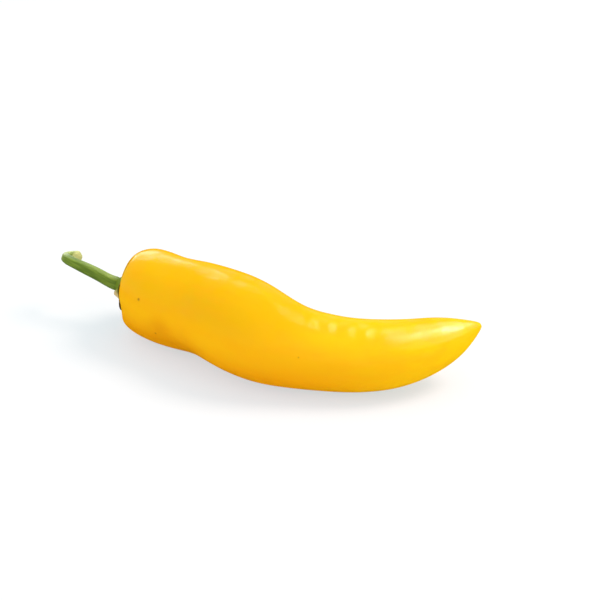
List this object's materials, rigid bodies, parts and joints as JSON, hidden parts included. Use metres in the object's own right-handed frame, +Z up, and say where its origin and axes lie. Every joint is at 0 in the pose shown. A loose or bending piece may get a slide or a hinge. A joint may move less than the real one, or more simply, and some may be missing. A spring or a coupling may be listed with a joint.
{
  "type": "long sweet pepper",
  "caption": "Long curved sweet pepper lying on its side, with its calyx and a hooked cut stem.",
  "frame": {"origin": "middle of the pepper's box, on the surface that it rests on", "axes": "+X from the stem towards the tip, along the pepper's longest extent; +Y away from the viewer of the picture; +Z up from the surface, the shortest extent"},
  "size_m": [0.2087, 0.0981, 0.0482],
  "materials": {
    "skin": "gloss",
    "calyx": "matte",
    "stem": "satin"
  },
  "bodies": {
    "root": {"fruit": "skin", "calyx": "calyx", "stem": "stem"}
  },
  "joints": []
}
